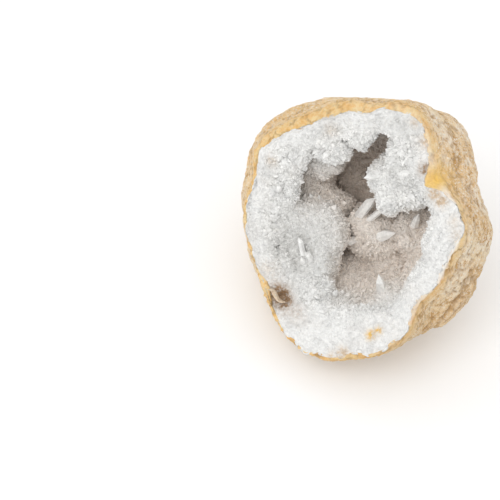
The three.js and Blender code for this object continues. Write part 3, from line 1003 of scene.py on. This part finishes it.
def facetGroup():
    # Crystal faces too small to model: cells that each rise to a point and lean their own way.
    tree, given, made = newGroup(
        "crystalFacets", {"Coordinates": "Vector", "Scale": "Float"}, {"Height": "Float", "Luck": "Float"}
    )
    cells = addNode(tree, "ShaderNodeTexVoronoi", feature="F1")
    feed(tree, cells.inputs["Vector"], given["Coordinates"])
    feed(tree, cells.inputs["Scale"], given["Scale"])
    lean = vectors(tree, "SUBTRACT", cells.outputs["Color"], (0.5, 0.5, 0.5))
    offset = vectors(tree, "SUBTRACT", given["Coordinates"], cells.outputs["Position"])
    slope = numbers(tree, "MULTIPLY", vectors(tree, "DOT_PRODUCT", lean, offset), given["Scale"])
    feed(tree, made["Height"], numbers(tree, "MULTIPLY_ADD", cells.outputs["Distance"], -0.7, slope))
    apart = addNode(tree, "ShaderNodeSeparateColor")
    feed(tree, apart.inputs[0], cells.outputs["Color"])
    feed(tree, made["Luck"], apart.outputs[0])
    return tree


facets = facetGroup()

quartzTints = {
    "face": (0.865, 0.86, 0.84, 1),
    "clear": (0.74, 0.735, 0.72, 1),  # where it is less cloudy
    # deep: the hollow's warm tint together with painted shade, darker as the hollow goes down
    "deep": (0.88, 0.80, 0.725, 1),
    # deepest: painted shade, dark brown on the deepest part of the hollow
    "deepest": (0.58, 0.48, 0.40, 1),
    # painted sheen: the pale white that quartz is painted where it is seen edge on
    "sheenWhite": (0.93, 0.93, 0.92, 1),
    "glassy": (0.62, 0.61, 0.585, 1),
    "yellow": (0.80, 0.50, 0.13, 1),
    "tan": (0.66, 0.51, 0.36, 1),
    "brown": (0.36, 0.23, 0.13, 1),
}

quartzPattern = {
    # the depths over which the hollow's painted shade comes in
    "deep": (0.006, 0.021),  # metres behind the broken face between which each colour comes in
    "deepest": (0.024, 0.036),
    "cloud": (90.0, 4.0, 0.55),  # noises: scale, detail and roughness
    "patch": (210.0, 5.0, 0.6),
    "grain": (800.0, 4.0, 0.6),
    "cloudMoves": (0.3, 0.7, -0.15, 0.15),  # two values of a noise, and what they become
    "patchClears": (0.48, 0.68),
    "grainBreaks": (0.35, 0.6, 0.3, 1.35),
}


def quartzColourGroup():
    # White quartz, clearer in patches and stained in a few places. Down in the hollow it is painted warmer
    # and darker, a warm tint with painted shade, and dark brown painted shade at the very bottom.
    inputs = {"Coordinates": "Vector", **{name: "Float" for name in ("Warmth", *stains)}}
    tree, given, made = newGroup("quartzColour", inputs, {"Colour": "Color"})
    tints, pattern = quartzTints, quartzPattern
    places = given["Coordinates"]
    cloud, patch, grain = (noise(tree, places, *pattern[k]) for k in ("cloud", "patch", "grain"))
    fromFace = vectors(tree, "SUBTRACT", places, face["centre"] * mm)
    depth = vectors(tree, "DOT_PRODUCT", fromFace, faceAxes[2])
    clouded = ramp(tree, cloud, *pattern["cloudMoves"])
    # painted shade with a warm tint: darker and warmer with depth behind the broken face, then dark brown
    # painted shade at the bottom
    warmthAndShade = numbers(tree, "ADD", ramp(tree, depth, *pattern["deep"]), clouded)
    warmthAndShade = numbers(tree, "MULTIPLY", warmthAndShade, given["Warmth"], clamped=True)
    colour = mixColour(tree, ramp(tree, patch, *pattern["patchClears"]), tints["face"], tints["clear"])
    colour = mixColour(tree, warmthAndShade, colour, tints["deep"])
    colour = mixColour(tree, ramp(tree, depth, *pattern["deepest"]), colour, tints["deepest"])
    broken = ramp(tree, grain, *pattern["grainBreaks"])
    for name in stains:
        strength = numbers(tree, "MULTIPLY", given[name], broken, clamped=True)
        colour = mixColour(tree, strength, colour, tints[name])
    feed(tree, made["Colour"], colour)
    return tree


quartzColour = quartzColourGroup()

quartzFinish = {  # heights of the facets in metres
    # warmthAndShade: how much of the hollow's warm tint and painted shade each finish takes
    "massive": {
        "rough": 0.42, "soft": 0.4, "facet": 0.0009, "smallFacet": 0.00045, "strength": 0.7, "warmthAndShade": 1.0,
    },
    "druse": {
        "rough": 0.3, "facet": 0.0002, "smallFacet": 0.0001, "strength": 0.3, "warmthAndShade": 1.0,
        # each crystal's own random tone, and painted shade from root to point
        "toneAndRootShade": {"luck": (0.0, 1.0, 0.93, 1.07), "tip": (0.4, 1.0, 0.9, 1.08)},  # shades of each crystal
    },
    "clear": {"rough": 0.14, "facet": 0.0001, "smallFacet": 0.00004, "strength": 0.2, "warmthAndShade": 0.3},
    "facetScale": 620.0,  # cells in a metre
    "smallFacetScale": 1500.0,
    "facetShades": (0.0, 1.0, 0.9, 1.06),
    "softReach": 0.0013,
    "glint": 0.16,  # the share of cells polished enough to glint
    "polish": 0.1,  # how rough those are
    # painted sheen: surfaces seen edge on are painted paler, standing in for the light along translucent
    # edges
    "paintedSheen": (0.55, 1.0, 0.0, 0.7),  # how far a surface turned from 0.55 to fully edge on pales
    "refraction": 1.54,
}


def quartzMaterial(name, kind):
    finish = quartzFinish[kind]
    material, tree, shader = newMaterial(name)
    coordinates = addNode(tree, "ShaderNodeTexCoord").outputs["Object"]
    marks = {stain: attribute(tree, stain) for stain in stains}
    toned = group(tree, quartzColour, Coordinates=coordinates, Warmth=finish["warmthAndShade"], **marks)["Colour"]
    large = group(tree, facets, Coordinates=coordinates, Scale=quartzFinish["facetScale"])
    small = group(tree, facets, Coordinates=coordinates, Scale=quartzFinish["smallFacetScale"])
    layers = ((large["Height"], finish["facet"]), (small["Height"], finish["smallFacet"]))
    bumps(tree, shader, finish["strength"], layers)
    # random tone for each small facet cell and each crystal, and on the small crystals painted shade, darker
    # at the roots
    shades = [ramp(tree, small["Luck"], *quartzFinish["facetShades"])]
    shades += [ramp(tree, attribute(tree, own), *span) for own, span in finish.get("toneAndRootShade", {}).items()]
    for shade in shades:
        toned = mixColour(tree, 1.0, toned, shade, "MULTIPLY")
    # painted sheen: the colour pales where the surface is seen edge on
    turned = addNode(tree, "ShaderNodeLayerWeight")
    turned.inputs["Blend"].default_value = 0.5
    sheen = ramp(tree, turned.outputs["Facing"], *quartzFinish["paintedSheen"])
    feed(tree, shader.inputs["Base Color"], mixColour(tree, sheen, toned, quartzTints["sheenWhite"]))
    dull = 1 - quartzFinish["glint"]
    polished = ramp(tree, small["Luck"], dull, dull + 0.03, finish["rough"], quartzFinish["polish"])
    feed(tree, shader.inputs["Roughness"], polished)
    shader.inputs["IOR"].default_value = quartzFinish["refraction"]
    if "soft" in finish:  # light spreads inside it, but not where it is buried in a seam
        soft = ramp(tree, attribute(tree, "inside"), 0.0, 1.0, 0.0, finish["soft"])
        feed(tree, shader.inputs["Subsurface Weight"], soft)
    shader.inputs["Subsurface Radius"].default_value = (1.0, 0.97, 0.93)
    shader.inputs["Subsurface Scale"].default_value = quartzFinish["softReach"]
    return material


rindTints = {
    "tan": (0.86, 0.62, 0.36, 1),
    "buff": (0.97, 0.83, 0.61, 1),
    "ochre": (0.88, 0.51, 0.16, 1),
    "honey": (1.0, 0.78, 0.42, 1),
    "whitish": (0.98, 0.90, 0.78, 1),
    "brown": (0.44, 0.25, 0.10, 1),
    "umber": (0.62, 0.35, 0.12, 1),
    "dusky": (0.92, 0.86, 0.76, 1),  # multiplies the colour at the lower right
    "yellow": (0.98, 0.64, 0.18, 1),
    "cream": (1.0, 0.96, 0.90, 1),
}

rindPattern = {  # noises: scale, detail and roughness; the streaks are drawn out along the rim
    "broad": (48.0, 4.0, 0.6),
    "patch": (120.0, 6.0, 0.68),
    "streak": (330.0, 9.0, 0.78),
    "fineStreak": (1000.0, 6.0, 0.72),
    "speck": (1300.0, 3.0, 0.75),
}

rindLayers = [  # colours laid on in turn: by what, between which two of its values, how strong at each
    ("golden", (0.0, 1.0, 0.1, 0.6), "warm"),
    ("paler", (0.0, 1.0), "whitish"),
    ("streak", (0.52, 0.6, 0.0, 0.9), "umber"),
    ("fineStreak", (0.55, 0.63, 0.0, 0.8), "umber"),
    ("speck", (0.52, 0.62, 0.0, 0.75), "cream"),
    ("toRim", (0.0, 0.4, 0.85, 0.0), "warm"),
    ("crease", (0.25, 1.0, 0.0, 0.75), "brown"),
    ("dusky", (0.0, 1.0), "dusky"),
    # the pale line on the broken edge, partly a painted highlight
    ("paleRimAndHighlight", (0.0, 1.0), "cream"),
    ("patchyYellow", (0.0, 1.0), "yellow"),
]

rindFinish = {
    "rough": (0.3, 0.7, 0.72, 0.97),  # two values of the specks, and the roughness they give
    "shine": 0.12,
    "bump": 0.75,
    "depths": {"streak": 0.0014, "fineStreak": 0.0007, "speck": 0.0006},  # metres
}


def rindMaterial():
    # Buff limestone, golden to the upper left, with pale patches, ochre streaks drawn out along the rim
    # and brown creases; ochre again near the break, and a cream line on the broken edge that is partly a
    # painted highlight.
    material, tree, shader = newMaterial("limestoneRind")
    coordinates = addNode(tree, "ShaderNodeTexCoord").outputs["Object"]
    flow = attribute(tree, "flow", "Vector")
    by = {name: attribute(tree, name) for name in ("toRim", "crease", "yellow", *rindPatches)}
    along = {"streak": flow, "fineStreak": flow}
    for name, values in rindPattern.items():
        by[name] = noise(tree, along.get(name, coordinates), *values)
    pale, streaky = ramp(tree, by["pale"], 0.0, 1.0, 0.3, 0.7), ramp(tree, by["streak"], 0.42, 0.58, 0.6, 1.3)
    by["paler"] = numbers(tree, "MULTIPLY", ramp(tree, by["patch"], 0.48, 0.62), pale)
    by["patchyYellow"] = numbers(tree, "MULTIPLY", by["yellow"], streaky, clamped=True)
    tints = dict(rindTints)
    tints["warm"] = mixColour(tree, ramp(tree, by["streak"], 0.42, 0.58), tints["ochre"], tints["honey"])
    colour = mixColour(tree, ramp(tree, by["broad"], 0.4, 0.6), tints["tan"], tints["buff"])
    for name, span, tint in rindLayers:
        blend = "MULTIPLY" if tint == "dusky" else "MIX"
        colour = mixColour(tree, ramp(tree, by[name], *span), colour, tints[tint], blend)
    feed(tree, shader.inputs["Base Color"], colour)
    feed(tree, shader.inputs["Roughness"], ramp(tree, by["speck"], *rindFinish["rough"]))
    bumps(tree, shader, rindFinish["bump"], [(by[name], deep) for name, deep in rindFinish["depths"].items()])
    shader.inputs["Specular IOR Level"].default_value = rindFinish["shine"]
    return material


def paint(piece, material):
    piece.data.materials.clear()
    piece.data.materials.append(material)


rindPiece = makeRind()
print("rind made")
wallPiece, wallGrid = makeWall()
moundObjects, moundPatches = makeMounds()
shellPiece = makeShell()
print("wall and mounds made")
drusePieces = makeDruse(wallGrid, moundPatches)
print("druse made:", druse["perPiece"] * druse["pieces"], "crystals")

wallQuartz = quartzMaterial("massiveQuartz", "massive")
druseQuartz = quartzMaterial("druseQuartz", "druse")
clearQuartz = quartzMaterial("clearQuartz", "clear")
limestone = rindMaterial()
for material, pieces in (
    (limestone, [rindPiece]), (wallQuartz, [wallPiece, *moundObjects]), (limestone, [shellPiece]),
    (druseQuartz, drusePieces),
):
    for piece in pieces:
        paint(piece, material)
        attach(piece, "root")
for name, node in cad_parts.items():
    if name.startswith("crystal"):
        paint(node, clearQuartz)
print("finishes done")

studio = {
    "floorSize": 3.0,
    "floorColour": (0.95, 0.95, 0.95, 1),
    "skyStrength": 1.0,
    "keyPower": 2.0,
    "keySize": 0.6,
    "keyPlace": (-0.1, -0.5, 0.9),
}


def makeFloor():
    half = studio["floorSize"] / 2 / mm
    corners = np.array([[-half, -half, 0], [half, -half, 0], [half, half, 0], [-half, half, 0]])
    floor = buildMesh("floor", corners, [[0, 1, 2, 3]], np.zeros((0, 3), int))
    material, _, shader = newMaterial("paleFloor")
    shader.inputs["Base Color"].default_value = studio["floorColour"]
    shader.inputs["Roughness"].default_value = 0.9
    paint(floor, material)


def areaLight(name, place, target, size, power):
    light = bpy.data.lights.new(name, "AREA")
    light.size = size
    light.energy = power
    lamp = bpy.data.objects.new(name, light)
    bpy.context.scene.collection.objects.link(lamp)
    lamp.location = place
    lamp.rotation_euler = (Vector(target) - Vector(place)).to_track_quat("-Z", "Y").to_euler()


def makeStudio():
    world = bpy.data.worlds.new("studioSky")
    world.use_nodes = True
    sky = world.node_tree.nodes["Background"]
    sky.inputs["Color"].default_value = (1, 1, 1, 1)
    sky.inputs["Strength"].default_value = studio["skyStrength"]
    bpy.context.scene.world = world
    areaLight("keySoftbox", studio["keyPlace"], face["centre"] * mm, studio["keySize"], studio["keyPower"])
    bpy.context.scene.view_settings.view_transform = "Standard"


view = {
    "azimuth": 36.0,
    "elevation": 54.0,
    "distance": 0.4988,
    "lens": 100.0,
    "aimLeft": 0.03394,  # the camera aims this far left of and below the open face's centre
    "aimBelow": 0.00646,
}


def makeCamera():
    a, e = np.radians(view["azimuth"]), np.radians(view["elevation"])
    back = Vector((np.sin(a) * np.cos(e), -np.cos(a) * np.cos(e), np.sin(e)))
    right = Vector((np.cos(a), np.sin(a), 0))
    up = back.cross(right)
    camera = bpy.data.objects.new("camera", bpy.data.cameras.new("camera"))
    camera.data.lens = view["lens"]
    camera.data.sensor_width = 36.0
    camera.data.clip_start = 0.01
    centre = Vector(face["centre"] * mm)
    camera.location = centre + back * view["distance"] - right * view["aimLeft"] - up * view["aimBelow"]
    camera.rotation_euler = (-back).to_track_quat("-Z", "Y").to_euler()
    bpy.context.scene.collection.objects.link(camera)
    bpy.context.scene.camera = camera


makeFloor()
makeStudio()
makeCamera()
